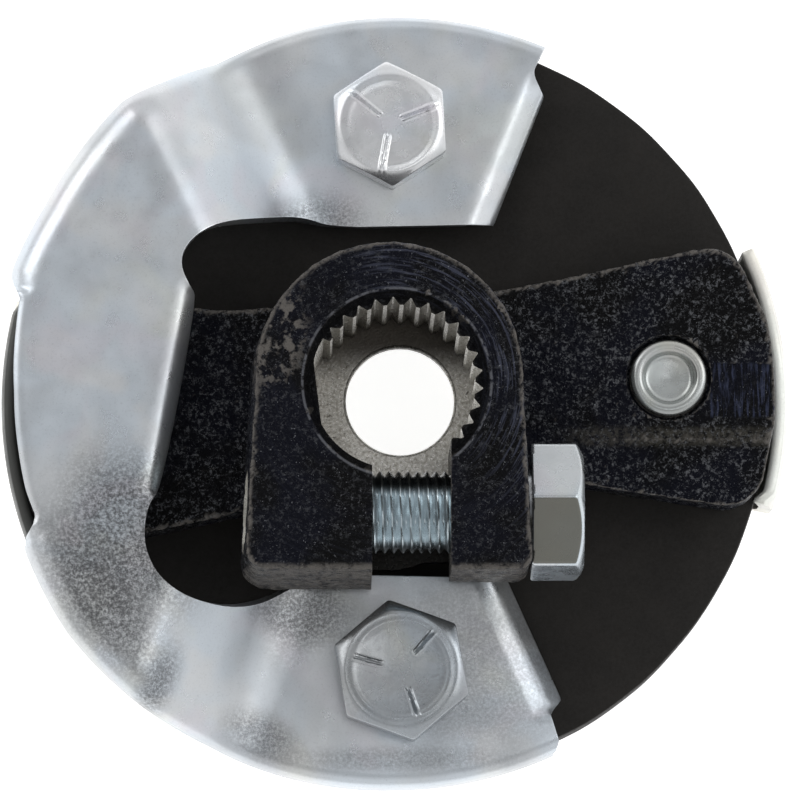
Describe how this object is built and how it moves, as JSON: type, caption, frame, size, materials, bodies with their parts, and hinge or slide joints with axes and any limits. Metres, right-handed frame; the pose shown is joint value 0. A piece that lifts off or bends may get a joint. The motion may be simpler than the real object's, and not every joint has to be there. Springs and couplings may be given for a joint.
{
  "type": "flexible disc steering coupling",
  "caption": "Flexible-disc steering coupling: a splined clamp hub with two arms and stop pins drives a rubber and fabric disc held by a stamped safety plate and two bolts.",
  "frame": {"origin": "on the shaft axis, at the ledge in the clamp hub that the end of the splined shaft comes up against", "axes": "+Z along the shaft axis, out of the hub's mouth; +X along the pinch bolt towards its head; the pinch slot opens towards -Y"},
  "size_m": [0.0918, 0.0904, 0.059],
  "materials": {
    "black_paint": "satin black paint on rough cast steel",
    "zinc_sheet": "zinc plated pressed sheet",
    "zinc_bolt": "bright zinc plate",
    "bare_steel": "plain turned steel",
    "rubber": "matte, with fabric plies at the edge"
  },
  "bodies": {
    "hub": {"hub_flange": "black_paint", "rear_strap": "zinc_sheet", "right_pin": "bare_steel", "left_pin": "bare_steel", "right_pin_sleeve": "bare_steel", "left_pin_sleeve": "bare_steel"},
    "disc": {"flex_disc": "rubber"},
    "shaft_side": {"safety_plate": "zinc_sheet", "small_bolt": "zinc_bolt", "large_bolt": "zinc_bolt", "small_bolt_sleeve": "bare_steel", "large_bolt_sleeve": "bare_steel", "small_seat_washer": "zinc_bolt", "large_seat_washer": "zinc_bolt", "small_lock_washer": "zinc_bolt", "large_lock_washer": "zinc_bolt", "small_nut": "zinc_bolt", "large_nut": "zinc_bolt"},
    "pinch": {"pinch_bolt": "zinc_bolt"}
  },
  "joints": [
    {"name": "flex_about_pins", "type": "hinge", "parent": "hub", "child": "disc", "pos_m": [0, 0, -0.00725], "axis": [0.9976, 0.0698, 0], "range_deg": [-3, 3], "stiffness_Nm_per_rad": 25, "deforming": ["flex_disc"]},
    {"name": "flex_about_bolts", "type": "hinge", "parent": "disc", "child": "shaft_side", "pos_m": [0, 0, -0.00725], "axis": [-0.0209, 0.9998, 0], "range_deg": [-3, 3], "stiffness_Nm_per_rad": 25, "deforming": ["flex_disc"]},
    {"name": "pinch_bolt_draw", "type": "slide", "parent": "hub", "child": "pinch", "axis": [1, 0, 0], "range_m": [0, 0.0317]}
  ]
}
